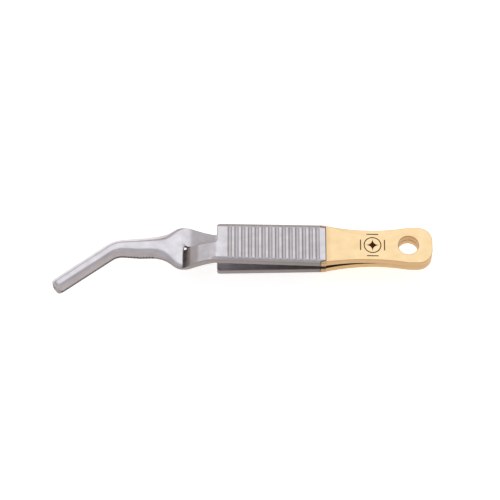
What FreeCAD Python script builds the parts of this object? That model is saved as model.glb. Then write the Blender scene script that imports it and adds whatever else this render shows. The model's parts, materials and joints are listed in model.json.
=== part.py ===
import FreeCAD, Part
import math
import os
import re

import Sketcher

# Cross-action spring clamp with angled jaws. Two stainless strips are brazed together at a
# gold-plated tail. Each strip runs forward as a leaf spring, becomes a ribbed finger plate, then
# a neck that takes one half of the width, crosses to the other side and carries a toothed jaw.
# Pressing the plates together therefore opens the jaws, and letting go closes them.
#
# Frame: the origin is on the hanging hole's axis, midway through the tail. +X runs back to the
# tail's end, so the jaws lie at negative X; +Y is the side away from the jaws' bend; +Z is up,
# through the tail. The mating plane of the jaws is z = 0. Lengths are in millimetres.

SIZES = (
    # alias, value, what it is
    ("strip_thick", 1.85, "thickness of one strip"),
    ("braze_thick", 0.10, "thickness of the braze film between the strips at the tail"),
    ("arm_slope", 3.1, "slope of each arm away from the middle plane, degrees"),
    ("hole_diameter", 4.7, "hanging hole"),
    ("tail_end", 5.6, "hole axis back to the tail's end"),
    ("tail_half", 4.62, "half width of the tail beside the hole"),
    ("tail_corner", 3.4, "radius of the tail's two corners"),
    ("slit_root", 7.5, "hole axis forward to where the strips part"),
    ("waist_station", 9.2, "hole axis forward to the narrowest place"),
    ("waist_half", 3.80, "half width at the narrowest place"),
    ("leaf_length", 11.8, "length of the plated leaf from the slit's root"),
    ("leaf_half", 4.78, "half width of the leaf at the edge of the plating"),
    ("plate_length", 25.4, "length of a finger plate"),
    ("plate_rear_half", 5.0, "half width of a finger plate at its rear"),
    ("plate_front_half", 4.75, "half width of a finger plate at its front"),
    ("plate_rise", 0.12, "how far a finger plate stands above its leaf"),
    ("ramp_length", 1.0, "length of the ramp from leaf to finger plate"),
    ("bevel_width", 0.80, "bevel along a finger plate, across the plate"),
    ("bevel_depth", 0.42, "bevel along a finger plate, down its side"),
    ("groove_front", 3.0, "front of a finger plate to its foremost groove's middle"),
    ("groove_rear", 1.9, "least distance from the rear of the plate to a groove's middle"),
    ("groove_pitch", 1.575, "groove to groove"),
    ("groove_radius", 0.50, "radius of a groove's floor"),
    ("groove_depth", 0.20, "depth of a groove"),
    ("neck_length", 8.0, "front of a finger plate to the back edge of the jaws"),
    ("neck_gap", 0.24, "side gap between the two necks"),
    ("knee_run", 1.6, "front of the plate to the knee in the neck's outer face"),
    ("knee_drop", 0.52, "drop of the outer face to its knee"),
    ("brow_run", 4.6, "front of the plate to where the outer face steepens"),
    ("brow_drop", 1.57, "drop of the outer face to there"),
    ("step_back", 1.8, "back edge of the jaws to the top of the neck's step"),
    ("step_height", 1.30, "height of that step, which clears the other jaw"),
    ("foot_back", 0.2, "back edge of the jaws to the foot of the step"),
    ("bend_run", 1.8, "front of the plate to the bend in the neck's inner face"),
    ("bend_drop", 0.78, "drop of the inner face to its bend"),
    ("heel_back", 1.7, "back edge of the jaws to where the inner face levels out"),
    ("heel_rise", 0.33, "height of the inner face there above the jaw's outer face"),
    ("notch_radius", 0.50, "relief notch in the corner between neck and jaw"),
    ("jaw_gap", 0.10, "gap between the closed jaws"),
    ("root_half", 5.05, "half width of the jaws at their back edge"),
    ("root_thick", 1.00, "thickness of a jaw at its back edge"),
    ("flare_length", 9.9, "length over which the jaws narrow from their back edge"),
    ("straight_length", 3.8, "length from there to the turn"),
    ("jaw_half", 2.39, "half width of a jaw on the mating plane"),
    ("crown_half", 1.20, "half width of a jaw's flat outer face"),
    ("jaw_thick", 1.92, "thickness of a jaw"),
    ("jaw_land", 0.40, "height of the upright land beside the mating plane"),
    ("bend_radius", 6.0, "radius of the turn, at the jaws' middle"),
    ("bend_angle", 36.4, "angle of the turn, degrees"),
    ("leg_length", 15.4, "straight length of the jaws beyond the turn"),
    ("leg_half", 1.86, "half width of a jaw beyond the turn, on the mating plane"),
    ("leg_crown", 0.76, "half width of its flat outer face there"),
    ("tip_corner", 0.9, "radius of the tip's corners"),
    ("tooth_start", 7.2, "back edge of the jaws to the first tooth gap"),
    ("tooth_pitch", 0.71, "tooth to tooth"),
    ("tooth_depth", 0.30, "depth of a tooth gap"),
    ("tooth_half", 0.30, "half width of a tooth gap"),
)

# Places along the clamp, as distances forward of the hole axis.
PLATING_EDGE = "(slit_root + leaf_length)"
PLATE_FRONT = f"({PLATING_EDGE} + plate_length)"
JAW_ROOT = f"({PLATE_FRONT} + neck_length)"
FLARE_END = f"({JAW_ROOT} + flare_length)"
BEND_START = f"({FLARE_END} + straight_length)"

# The jaw from its back edge to the end of its flare. Each row holds a share of that distance,
# then shares of the change from the back edge's size to the jaw's own in half width, in half width
# of the outer face and in thickness, and the sideways shift of the middle.
FLARE_STATIONS = (
    (0.00, 0.00, 0.00, 0.00, 0.00),
    (0.15, 0.12, 0.22, 0.12, 0.00),
    (0.36, 0.56, 0.70, 0.38, 0.15),
    (0.56, 0.80, 0.88, 0.66, 0.26),
    (0.78, 0.94, 0.95, 0.92, 0.20),
    (1.00, 1.00, 1.00, 1.00, 0.00),
)
# The jaw through its turn: a share of the turn, and how much of the narrowing is done there.
TURN_STATIONS = ((0.00, 0.40), (0.25, 0.58), (0.50, 0.74), (0.75, 0.88), (1.00, 1.00))

doc = FreeCAD.newDocument("cross_action_clamp")
sheet = doc.addObject("Spreadsheet::Sheet", "Sizes")
for row, (alias, number, meaning) in enumerate(SIZES, start=1):
    sheet.set(f"A{row}", meaning)
    sheet.set(f"B{row}", str(number))
    sheet.setAlias(f"B{row}", alias)
doc.recompute()


# ---------------------------------------------------------------- formulas and sketches

def formula(words):
    """Turn a formula in the sheet's aliases into an expression that reads the sheet."""
    return re.sub(r"\b([a-z]+_[a-z_]+)\b", r"Sizes.\1", words)


def value(words):
    """The present value of a formula in the sheet's aliases."""
    return float(sheet.evalExpression(formula(words)))


def inner_face(station):
    """Height of an arm's inner face at a distance forward of the hole axis."""
    return f"(braze_thick / 2 + ({station} - slit_root) * tan(arm_slope * 1 deg))"


def outer_face(station):
    """Height of a finger plate's outer face at a distance forward of the hole axis."""
    return f"({inner_face(station)} + strip_thick + plate_rise)"


def plane_of(body, role):
    return next(f for f in body.Origin.OriginFeatures if f.Role == role)


def new_sketch(body, name, role):
    """A sketch on one of the body's own origin planes."""
    sketch = body.newObject("Sketcher::SketchObject", name)
    sketch.AttachmentSupport = [(plane_of(body, role), "")]
    sketch.MapMode = "FlatFace"
    return sketch


def shift_sketch(sketch, right, out, turn="0"):
    """Move a sketch along its own X and its normal, and turn it about its own Y, by formulas."""
    sketch.AttachmentOffset = FreeCAD.Placement(
        FreeCAD.Vector(value(right), 0, value(out)),
        FreeCAD.Rotation(FreeCAD.Vector(0, 1, 0), value(turn)))
    sketch.setExpression("AttachmentOffset.Base.x", formula(right))
    sketch.setExpression("AttachmentOffset.Base.z", formula(out))
    sketch.setExpression("AttachmentOffset.Rotation.Angle", formula(f"({turn}) * 1 deg"))


def hold(sketch, kind, geometry, end, words):
    """Hold a sketch point's distance from the origin at a formula."""
    index = sketch.addConstraint(Sketcher.Constraint(kind, -1, 1, geometry, end, value(words)))
    sketch.setExpression(f"Constraints[{index}]", formula(words))


def draw_outline(sketch, corners):
    """Draw a closed outline. A corner is (x, y) in formulas, or (x, y, radius) where the edge that
    leaves it is an arc: anticlockwise for a positive radius, clockwise for a negative one."""
    points = [FreeCAD.Vector(value(c[0]), value(c[1]), 0) for c in corners]
    edges = []
    for i, corner in enumerate(corners):
        start, end = points[i], points[(i + 1) % len(points)]
        if len(corner) == 2:
            edges.append((sketch.addGeometry(Part.LineSegment(start, end)), 1, 2))
            continue
        radius = value(corner[2])
        chord = end - start
        reach = abs(radius) - math.sqrt(radius ** 2 - (chord.Length / 2) ** 2)
        side = FreeCAD.Vector(chord.y, -chord.x, 0).normalize()
        middle = (start + end) / 2 + side * math.copysign(reach, radius)
        arc = sketch.addGeometry(Part.Arc(start, middle, end))
        index = sketch.addConstraint(Sketcher.Constraint("Radius", arc, abs(radius)))
        sketch.setExpression(f"Constraints[{index}]", formula(f"abs({corner[2]})"))
        edges.append((arc, 1, 2) if radius > 0 else (arc, 2, 1))
    for i, (geometry, first, _) in enumerate(edges):
        before, _, last = edges[i - 1]
        sketch.addConstraint(Sketcher.Constraint("Coincident", before, last, geometry, first))
        hold(sketch, "DistanceX", geometry, first, corners[i][0])
        hold(sketch, "DistanceY", geometry, first, corners[i][1])


def draw_circle(sketch, x, y, radius):
    centre = FreeCAD.Vector(value(x), value(y), 0)
    circle = sketch.addGeometry(Part.Circle(centre, FreeCAD.Vector(0, 0, 1), value(radius)))
    index = sketch.addConstraint(Sketcher.Constraint("Radius", circle, value(radius)))
    sketch.setExpression(f"Constraints[{index}]", formula(radius))
    hold(sketch, "DistanceX", circle, 3, x)
    hold(sketch, "DistanceY", circle, 3, y)


def frame_round(sketch):
    """A large square round everything, so that a pocket keeps only what lies inside it."""
    far = f"(2 * {JAW_ROOT} + 2 * leg_length)"
    draw_outline(sketch, [(f"-{far}", f"-{far}"), (far, f"-{far}"), (far, far), (f"-{far}", far)])


# ---------------------------------------------------------------- features

def pad_across(body, name, corners, width):
    """Pad a side profile to both sides of the middle plane."""
    sketch = new_sketch(body, f"{name}_profile", "XZ_Plane")
    draw_outline(sketch, corners)
    pad = body.newObject("PartDesign::Pad", name)
    pad.Profile = sketch
    pad.SideType = "Symmetric"
    pad.setExpression("Length", formula(width))
    return pad


def cut_through(body, sketch, name):
    """Cut a sketch's area right through the body, and see that something was cut."""
    doc.recompute()
    before = body.Shape.Volume
    pocket = body.newObject("PartDesign::Pocket", name)
    pocket.Profile = sketch
    pocket.Type = "ThroughAll"
    pocket.SideType = "Symmetric"
    doc.recompute()
    if not 0 < body.Shape.Volume < before:
        raise RuntimeError(f"{body.Label}: {name} cut nothing")
    return pocket


def edges_where(body, name, wanted):
    """The names of the body's edges that a test picks."""
    doc.recompute()
    edges = enumerate(body.Tip.Shape.Edges, start=1)
    found = [f"Edge{i}" for i, edge in edges if wanted(edge)]
    if not found:
        raise RuntimeError(f"{body.Label}: {name} found no edge")
    return found


def bevel(body, name, wanted, across, down):
    """Bevel the edges that a test picks."""
    edges = edges_where(body, name, wanted)
    base = body.Tip
    chamfer = body.newObject("PartDesign::Chamfer", name)
    chamfer.Base = (base, edges)
    chamfer.ChamferType = "Two distances"
    chamfer.setExpression("Size", formula(across))
    chamfer.setExpression("Size2", formula(down))
    doc.recompute()


def round_edges(body, name, wanted, radius):
    """Round the edges that a test picks."""
    edges = edges_where(body, name, wanted)
    base = body.Tip
    fillet = body.newObject("PartDesign::Fillet", name)
    fillet.Base = (base, edges)
    fillet.setExpression("Radius", formula(radius))
    doc.recompute()


# ---------------------------------------------------------------- tail and spring leaves

def gold_outline():
    """Plan of the plated part: a waist between two long arcs, and a tail with round corners."""
    front = f"-{PLATING_EDGE}"
    waist = "-waist_station"
    front_radius = (f"((({PLATING_EDGE} - waist_station)^2 + (leaf_half - waist_half)^2)"
                    " / (2 * (leaf_half - waist_half)))")
    rear_radius = ("((waist_station^2 + (tail_half - waist_half)^2)"
                   " / (2 * (tail_half - waist_half)))")
    return [
        (front, "-leaf_half", f"-{front_radius}"),
        (waist, "-waist_half", f"-{rear_radius}"),
        ("0", "-tail_half"),
        ("tail_end - tail_corner", "-tail_half", "tail_corner"),
        ("tail_end", "-(tail_half - tail_corner)"),
        ("tail_end", "tail_half - tail_corner", "tail_corner"),
        ("tail_end - tail_corner", "tail_half"),
        ("0", "tail_half", f"-{rear_radius}"),
        (waist, "waist_half", f"-{front_radius}"),
        (front, "leaf_half"),
    ]


def gold_piece(label, corners):
    """A plated piece: its side profile padded across, then trimmed to the plan."""
    body = doc.addObject("PartDesign::Body", label)
    pad_across(body, f"{label}_strip", corners, "4 * (leaf_half + tail_half)")
    plan = new_sketch(body, f"{label}_plan", "XY_Plane")
    frame_round(plan)
    draw_outline(plan, gold_outline())
    cut_through(body, plan, f"{label}_trim")
    return body


def tail_piece(label, low, high):
    """A layer of the tail, with the hanging hole."""
    body = gold_piece(label, [
        ("-slit_root", low), ("tail_end", low), ("tail_end", high), ("-slit_root", high),
    ])
    hole = new_sketch(body, f"{label}_hole_plan", "XY_Plane")
    draw_circle(hole, "0", "0", "hole_diameter / 2")
    cut_through(body, hole, f"{label}_hole")
    return body


def spring_leaf(label, sign):
    """The stretch of strip that bends, from the root of the slit to the edge of the plating."""
    root, edge = inner_face("slit_root"), inner_face(PLATING_EDGE)
    return gold_piece(label, [
        ("-slit_root", f"{sign} * {root}"),
        ("-slit_root", f"{sign} * ({root} + strip_thick)"),
        (f"-{PLATING_EDGE}", f"{sign} * ({edge} + strip_thick)"),
        (f"-{PLATING_EDGE}", f"{sign} * {edge}"),
    ])


# ---------------------------------------------------------------- arms

def arm_profile(sign):
    """Side profile of plate and neck. The sign is 1 for the arm whose plate is on top."""
    ramp_end = f"({PLATING_EDGE} + ramp_length)"
    lap = f"({JAW_ROOT} + root_thick / 2)"
    mating, crown = "-jaw_gap / 2", "-(jaw_gap / 2 + root_thick)"
    corners = [
        (f"-{PLATING_EDGE}", inner_face(PLATING_EDGE)),
        (f"-{PLATING_EDGE}", f"{inner_face(PLATING_EDGE)} + strip_thick"),
        (f"-{ramp_end}", outer_face(ramp_end)),
        (f"-{PLATE_FRONT}", outer_face(PLATE_FRONT)),
        (f"-({PLATE_FRONT} + knee_run)", f"{outer_face(PLATE_FRONT)} - knee_drop"),
        (f"-({PLATE_FRONT} + brow_run)", f"{outer_face(PLATE_FRONT)} - brow_drop"),
        (f"-({JAW_ROOT} - step_back)", "step_height"),
        (f"-({JAW_ROOT} - foot_back)", mating),
        (f"-{lap}", mating),
        (f"-{lap}", crown),
        (f"-{JAW_ROOT}", crown),
        (f"-({JAW_ROOT} - heel_back)", f"{crown} + heel_rise"),
        (f"-({PLATE_FRONT} + bend_run)", f"{inner_face(PLATE_FRONT)} - bend_drop"),
        (f"-{PLATE_FRONT}", inner_face(PLATE_FRONT)),
    ]
    return [(x, f"{sign} * ({z})") for x, z in corners]


def arm_outline(sign):
    """Plan of plate and neck. The neck keeps to -Y on the top arm and to +Y on the other."""
    lap = f"({JAW_ROOT} + root_thick / 2)"
    inner_edge, outer_side = f"-{sign} * neck_gap / 2", f"-{sign}"
    return [
        (f"-{PLATING_EDGE}", f"{outer_side} * plate_rear_half"),
        (f"-{PLATING_EDGE}", f"{sign} * plate_rear_half"),
        (f"-{PLATE_FRONT}", f"{sign} * plate_front_half"),
        (f"-{PLATE_FRONT}", inner_edge),
        (f"-{lap}", inner_edge),
        (f"-{lap}", f"{outer_side} * (root_half - root_thick / 4)"),
        (f"-{JAW_ROOT}", f"{outer_side} * root_half"),
        (f"-{PLATE_FRONT}", f"{outer_side} * plate_front_half"),
    ]


def cut_grooves(body, label, sign):
    """Grip grooves across the finger plate, as many as its length takes."""
    room = value("plate_length - groove_front - groove_rear")
    count = int(room / value("groove_pitch") + 1e-6) + 1
    sketch = new_sketch(body, f"{label}_groove_profile", "XZ_Plane")
    for i in range(count):
        station = f"({PLATE_FRONT} - groove_front - {i} * groove_pitch)"
        centre = f"({outer_face(station)} + groove_radius - groove_depth)"
        draw_circle(sketch, f"-{station}", f"{sign} * {centre}", "groove_radius")
    cut_through(body, sketch, f"{label}_grooves")


def jaw_place(turn, run="0"):
    """X and Y, as formulas, of the jaw's middle at a share of its turn and a run beyond it."""
    angle = f"({turn} * bend_angle * 1 deg)"
    x = f"-({BEND_START} + bend_radius * sin({angle}) + {run} * cos({angle}))"
    y = f"-(bend_radius * (1 - cos({angle})) + {run} * sin({angle}))"
    return x, y


def draw_section(sketch, sign, half, flat, deep, land, shift="0"):
    """A jaw's section: the mating face, an upright land each side, two flanks and a flat crown."""
    def at(y, z):
        return (f"({y} + {shift})", f"-{sign} * (jaw_gap / 2 + {z})")

    draw_outline(sketch, [
        at(f"-{half}", "0"), at(half, "0"), at(half, land), at(flat, deep),
        at(f"-{flat}", deep), at(f"-{half}", land),
    ])


def flare_section(body, name, sign, row):
    """One section between the jaw's back edge and the end of its flare."""
    along, wide, crown, thick, shift = row
    sketch = new_sketch(body, name, "YZ_Plane")
    shift_sketch(sketch, "0", f"-({JAW_ROOT} + {along} * flare_length)")
    root_flat, root_land = "0.92 * root_half", "0.8 * root_thick"
    draw_section(
        sketch, sign,
        f"(root_half + {wide} * (jaw_half - root_half))",
        f"({root_flat} + {crown} * (crown_half - {root_flat}))",
        f"(root_thick + {thick} * (jaw_thick - root_thick))",
        f"({root_land} + {crown} * (jaw_land - {root_land}))",
        shift,
    )
    return sketch


def leg_section(body, name, sign, turn, narrow, run="0"):
    """One section in the jaw's turn or beyond it."""
    sketch = new_sketch(body, name, "YZ_Plane")
    x, y = jaw_place(turn, run)
    shift_sketch(sketch, y, x, f"{turn} * bend_angle")
    draw_section(
        sketch, sign,
        f"(jaw_half + {narrow} * (leg_half - jaw_half))",
        f"(crown_half + {narrow} * (leg_crown - crown_half))",
        "jaw_thick", "jaw_land",
    )
    return sketch


def add_jaw(body, label, sign):
    """The jaw: one loft through its sections, from the wide crossing to the tip."""
    sections = [
        flare_section(body, f"{label}_flare_{i}", sign, row)
        for i, row in enumerate(FLARE_STATIONS)
    ]
    sections += [
        leg_section(body, f"{label}_turn_{i}", sign, turn, narrow)
        for i, (turn, narrow) in enumerate(TURN_STATIONS)
    ]
    sections.append(leg_section(body, f"{label}_tip_section", sign, 1, 1, "leg_length"))
    loft = body.newObject("PartDesign::AdditiveLoft", f"{label}_jaw")
    loft.Profile = sections[0]
    loft.Sections = sections[1:]
    loft.Ruled = True
    doc.recompute()


def cut_tooth_row(body, name, sign, sketch, first, count):
    """A row of V-shaped gaps in the mating face, from a first one along the sketch's own X."""
    root = f"-{sign} * (jaw_gap / 2 + tooth_depth)"
    draw_outline(sketch, [
        (f"{first} - tooth_half", "0"), (f"{first} + tooth_half", "0"), (first, root),
    ])
    doc.recompute()
    before = body.Shape.Volume
    gap = body.newObject("PartDesign::Pocket", f"{name}_gap")
    gap.Profile = sketch
    gap.SideType = "Symmetric"
    gap.setExpression("Length", formula("4 * jaw_half"))
    doc.recompute()
    teeth = body.newObject("PartDesign::LinearPattern", name)
    teeth.Originals = [gap]
    teeth.Direction = (sketch, ["H_Axis"])
    teeth.Reversed = True
    teeth.Occurrences = count
    teeth.setExpression("Length", formula(f"{count - 1} * tooth_pitch"))
    body.Tip = teeth
    doc.recompute()
    if not 0 < body.Shape.Volume < before:
        raise RuntimeError(f"{body.Label}: {name} cut nothing")


def cut_teeth(body, label, sign):
    """Tooth gaps across the mating face: one row square to X, one square to the angled leg."""
    pitch = value("tooth_pitch")
    straight = new_sketch(body, f"{label}_straight_tooth", "XZ_Plane")
    room = value("flare_length + straight_length - tooth_start")
    cut_tooth_row(body, f"{label}_straight_teeth", sign, straight,
                  f"-({JAW_ROOT} + tooth_start)", int(room / pitch) + 1)
    leg = new_sketch(body, f"{label}_leg_tooth", "XZ_Plane")
    x, y = jaw_place(1)
    shift_sketch(leg, x, f"-({y})", "bend_angle")
    room = value("leg_length - tip_corner")
    cut_tooth_row(body, f"{label}_leg_teeth", sign, leg, "-tooth_pitch", int(room / pitch))


def clamp_arm(label, sign):
    """One arm in a single piece: finger plate, neck and jaw."""
    body = doc.addObject("PartDesign::Body", label)
    pad_across(body, f"{label}_strip", arm_profile(sign), "2 * (root_half + plate_rear_half)")
    plan = new_sketch(body, f"{label}_plan", "XY_Plane")
    frame_round(plan)
    draw_outline(plan, arm_outline(sign))
    cut_through(body, plan, f"{label}_trim")

    near_zero = 0.01
    front, rear = -value(PLATE_FRONT), -value(f"{PLATING_EDGE} + ramp_length")

    def plate_rim(edge):
        ends = sorted(v.X for v in edge.Vertexes)
        outside = all(abs(v.Y) > value("plate_front_half") - near_zero for v in edge.Vertexes)
        high = all(sign * v.Z > value(f"{inner_face(PLATE_FRONT)}") for v in edge.Vertexes)
        return (outside and high and len(ends) == 2
                and abs(ends[0] - front) < near_zero and abs(ends[1] - rear) < near_zero)

    bevel(body, f"{label}_bevel", plate_rim, "bevel_width", "bevel_depth")
    cut_grooves(body, label, sign)
    notch = new_sketch(body, f"{label}_notch_plan", "XY_Plane")
    draw_circle(notch, f"-({JAW_ROOT} - notch_radius)", f"-{sign} * neck_gap / 2", "notch_radius")
    cut_through(body, notch, f"{label}_notch")
    add_jaw(body, label, sign)

    def tip_edge(edge):
        box = edge.BoundBox
        upright = abs(box.ZLength - value("jaw_land")) < near_zero and box.XLength < near_zero
        return upright and box.XMax < value(jaw_place(1, "leg_length")[0] + " + leg_half")

    round_edges(body, f"{label}_tip", tip_edge, "tip_corner")
    cut_teeth(body, label, sign)
    return body


# ---------------------------------------------------------------- the clamp

film = "braze_thick / 2"
pieces = [
    tail_piece("tail_upper_half", film, f"({film} + strip_thick)"),
    tail_piece("tail_lower_half", f"-({film} + strip_thick)", f"-{film}"),
    tail_piece("tail_braze_film", f"-{film}", film),
    spring_leaf("upper_spring_leaf", 1),
    spring_leaf("lower_spring_leaf", -1),
    clamp_arm("upper_arm", 1),
    clamp_arm("lower_arm", -1),
]
doc.recompute()

for thing in doc.Objects:
    if "Invalid" in thing.State or "Error" in thing.State:
        raise RuntimeError(f"{thing.Name} failed: {thing.State}")
for piece in pieces:
    piece.Placement = FreeCAD.Placement()
    if piece.Shape.isNull() or not piece.Shape.isValid() or len(piece.Shape.Solids) != 1:
        raise RuntimeError(f"{piece.Label} is not one valid solid")

os.makedirs("parts", exist_ok=True)
for piece in pieces:
    piece.Shape.exportStep(os.path.join("parts", f"{piece.Label}.step"))
    print(f"{piece.Label}: {piece.Shape.Volume:.1f} mm3")
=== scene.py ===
# %% [markdown]
# # A cross-action clamp with angled jaws
# This small hand tool is two strips of stainless steel, brazed together at a gold-plated tail.
# Pressing the ribbed plates opens the jaws, because the necks cross between plates and jaws.
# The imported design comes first: it gives the bodies that move and the room each piece fills.

# %% Load the design
import json
import math

import bpy
import numpy as np
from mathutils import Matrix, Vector


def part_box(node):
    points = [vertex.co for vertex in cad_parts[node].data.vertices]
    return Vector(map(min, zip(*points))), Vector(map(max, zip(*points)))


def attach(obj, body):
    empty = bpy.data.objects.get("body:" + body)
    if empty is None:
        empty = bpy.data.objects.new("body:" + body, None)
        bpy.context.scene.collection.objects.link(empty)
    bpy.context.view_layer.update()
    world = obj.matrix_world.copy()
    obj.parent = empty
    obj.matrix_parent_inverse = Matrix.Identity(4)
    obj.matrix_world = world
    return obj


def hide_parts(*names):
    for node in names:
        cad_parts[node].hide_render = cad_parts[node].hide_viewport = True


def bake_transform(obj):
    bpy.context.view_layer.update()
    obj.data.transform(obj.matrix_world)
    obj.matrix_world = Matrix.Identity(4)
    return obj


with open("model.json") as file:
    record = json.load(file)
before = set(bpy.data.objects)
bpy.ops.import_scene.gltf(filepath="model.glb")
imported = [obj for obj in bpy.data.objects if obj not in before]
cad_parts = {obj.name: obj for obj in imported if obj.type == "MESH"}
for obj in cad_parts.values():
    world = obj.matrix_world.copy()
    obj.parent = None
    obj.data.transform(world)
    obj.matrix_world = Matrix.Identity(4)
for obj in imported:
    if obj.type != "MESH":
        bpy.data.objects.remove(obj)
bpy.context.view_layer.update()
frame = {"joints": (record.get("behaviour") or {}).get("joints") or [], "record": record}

# %% [markdown]
# ## Sizes taken from the design
# A maker reads the drawing before cutting metal. Here the boxes of the design's own nodes
# and its mounts give the driving sizes, so the pieces below can't drift away from it. All
# lengths in this script are in millimetres until the very end, when a mesh is made in metres.

# %% Read the driving sizes
MM = 0.001


def node_box(node):
    """Lowest and highest corner of a design node, in millimetres."""
    low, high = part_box(node)
    return np.array(low) / MM, np.array(high) / MM


mounts = {mount["name"]: mount for mount in frame["record"]["mounts"]}
tail_low, tail_high = node_box("tail_upper_half")
leaf_low, leaf_high = node_box("upper_spring_leaf")
arm_low, arm_high = node_box("upper_arm")

FILM = tail_low[2]                                  # half the braze film's thickness
STRIP = tail_high[2] - tail_low[2]                  # thickness of one strip
HOLE = mounts["hang_hole"]["dims"]["r_mm"]          # radius of the hanging hole
TAIL_END = tail_high[0]                             # hole axis back to the tail's end
SLIT_ROOT = -tail_low[0]                            # hole axis forward to where strips part
PLATING_EDGE = -leaf_low[0]                         # hole axis forward to the plating's edge
SLOPE = (leaf_high[2] - tail_high[2]) / (PLATING_EDGE - SLIT_ROOT)
PLATE_RISE = 0.12                                   # finger plate above its leaf
PLATE_TOP = arm_high[2]                             # highest point of a finger plate
PLATE_FRONT = SLIT_ROOT + (PLATE_TOP - FILM - STRIP - PLATE_RISE) / SLOPE
JAW_THICK = -arm_low[2] - FILM                      # greatest thickness of one jaw
ROOT_HALF = arm_high[1]                             # half width of the jaws' back edge
print(f"strip {STRIP:.2f}, slope {SLOPE:.4f}, plate front at {PLATE_FRONT:.2f} mm")

# %% [markdown]
# ## Smooth curves through a few points
# The outlines are hand-ground, so they have no hard corners in plan. A width that changes at
# only a few places is straight lines through those places, averaged over a short window, which
# rounds every corner by the same small amount and never overshoots. Long round stretches, such
# as the waist and the jaws' flare, have a formula of their own further down.


# %% A softened curve and a soft step
def softened(stations, values, window):
    """Straight lines through the points, averaged with a hat-shaped weight over +-window."""
    offsets = np.linspace(-1, 1, 17)
    weights = 1 - 0.9 * np.abs(offsets)
    weights = weights / weights.sum()

    def curve(x):
        places = np.asarray(x, float)[..., None] + offsets * window
        return np.interp(places, stations, values) @ weights

    return curve


def smooth_step(x, low, high):
    """0 at low, 1 at high, 3t^2 - 2t^3 between and level outside. Low may be the larger."""
    t = np.clip((x - low) / (high - low), 0, 1)
    return t * t * (3 - 2 * t)


def soft_least(a, b, width):
    """The smaller of a and b, with the corner between them rounded over about width."""
    return (a + b - np.sqrt((a - b) ** 2 + width ** 2)) / 2


def along_line(points, count):
    """Count points at even distances along a polyline, both ends kept."""
    points = np.asarray(points, float)
    steps = np.linalg.norm(np.diff(points, axis=0), axis=1)
    distance = np.concatenate([[0], np.cumsum(steps)])
    wanted = np.linspace(0, distance[-1], count)
    return np.stack([np.interp(wanted, distance, points[:, i]) for i in (0, 1)], -1)


def arc(centre, radius, start, stop, count=13):
    """Points on an arc, with its angles in degrees. The radius may be a pair for an ellipse."""
    angle = np.radians(np.linspace(start, stop, count))
    return np.array(centre) + np.array(radius) * np.stack([np.cos(angle), np.sin(angle)], -1)


# %% [markdown]
# ## From a grid of points to a closed skin
# Every metal piece below is one grid: rows along the piece, and a loop round it. A box model
# with subdivision would need creases everywhere; a grid keeps each edge round exactly where
# the formula puts it. Attributes go with the points for the finishes to read: where the point
# lies on the straight strip, before any bend, and how much painted shade it gets on a side,
# in a hollow or on an inner face.


# %% Build a skin
def outward(mesh):
    """Turn the faces round if the mesh holds a negative volume, and return the volume."""
    mesh.calc_loop_triangles()
    corners = np.zeros(len(mesh.loop_triangles) * 3, np.int32)
    mesh.loop_triangles.foreach_get("vertices", corners)
    points = np.zeros(len(mesh.vertices) * 3, np.float32)
    mesh.vertices.foreach_get("co", points)
    a, b, c = points.reshape(-1, 3).astype(float)[corners.reshape(-1, 3)].transpose(1, 0, 2)
    volume = np.einsum("ij,ij->i", a, np.cross(b, c)).sum() / 6
    if volume < 0:
        mesh.flip_normals()
    return abs(volume)


def make_skin(name, grid, place, marks, ring):
    """Join a grid of points (row, round the row, xyz) into a closed mesh object.

    Point (r, k) meets (r + 1, k) and (r, k + 1), and the loop round each row closes. With
    ring=True the last row also meets the first; otherwise a flat face closes each end. The
    marks are named numbers from 0 to 1, one for each point.
    """
    rows, loop = grid.shape[:2]
    index = np.arange(rows * loop).reshape(rows, loop)
    onward = np.roll(index, -1, axis=0)
    beside = np.roll(index, -1, axis=1)
    quads = np.stack([index, beside, np.roll(onward, -1, axis=1), onward], -1)
    faces = quads[:rows if ring else rows - 1].reshape(-1, 4).tolist()
    if not ring:
        faces += [index[0, ::-1].tolist(), index[-1].tolist()]
    mesh = bpy.data.meshes.new(name)
    mesh.from_pydata(grid.reshape(-1, 3) * MM, [], faces)
    mesh.attributes.new("strip_place", "FLOAT_VECTOR", "POINT").data.foreach_set(
        "vector", place.astype(np.float32).ravel())
    for mark, values in marks.items():
        mesh.attributes.new(mark, "FLOAT", "POINT").data.foreach_set(
            "value", values.astype(np.float32).ravel())
    mesh.polygons.foreach_set("use_smooth", np.ones(len(mesh.polygons), bool))
    volume = outward(mesh)
    mesh.set_sharp_from_angle(angle=math.radians(40))
    mesh.update()
    piece = bpy.data.objects.new(name, mesh)
    bpy.context.scene.collection.objects.link(piece)
    print(f"{name}: {len(faces)} faces, {volume / MM ** 3:.0f} mm3")
    return piece


def turned_over(grid):
    """The same points turned half round the long X axis: x, -y, -z."""
    return grid * np.array([1, -1, -1])


# %% [markdown]
# ## Rounded edges
# Stamped strip is tumbled, so its edges are rounded by a tenth of a millimetre. Blender's Bevel
# would do that on a box; here the round is a quarter circle carried round each row, which
# keeps it even on the curved outlines and leaves no narrow faces to pinch.

# %% The quarter circle of an edge
ROUND_STEPS = 4
edge_angle = np.linspace(0, math.pi / 2, ROUND_STEPS + 1)
EDGE_OUT = np.sin(edge_angle)       # how far out from the start of the round, over its radius
EDGE_DOWN = 1 - np.cos(edge_angle)  # how far down the side, over its radius

# %% [markdown]
# ## The gold-plated springs
# Each strip's tail end and spring leaf are one slab with a waist, two round corners and the
# hanging hole. Seen from above, it is a ring between the hole and the outline. So the grid
# runs round the outline in one direction and from the hole's wall over the top, down the side
# and back along the underside in the other, and the hole needs no boolean cut.

# %% Outline of the plated strip
TAIL_CORNER = 3.4
WAIST_X = -9.2                        # the narrowest place
WAIST_HALF = 3.80
LEAF_HALF = leaf_high[1]              # half width where the leaf meets the plate
TAIL_HALF = 4.62


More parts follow.
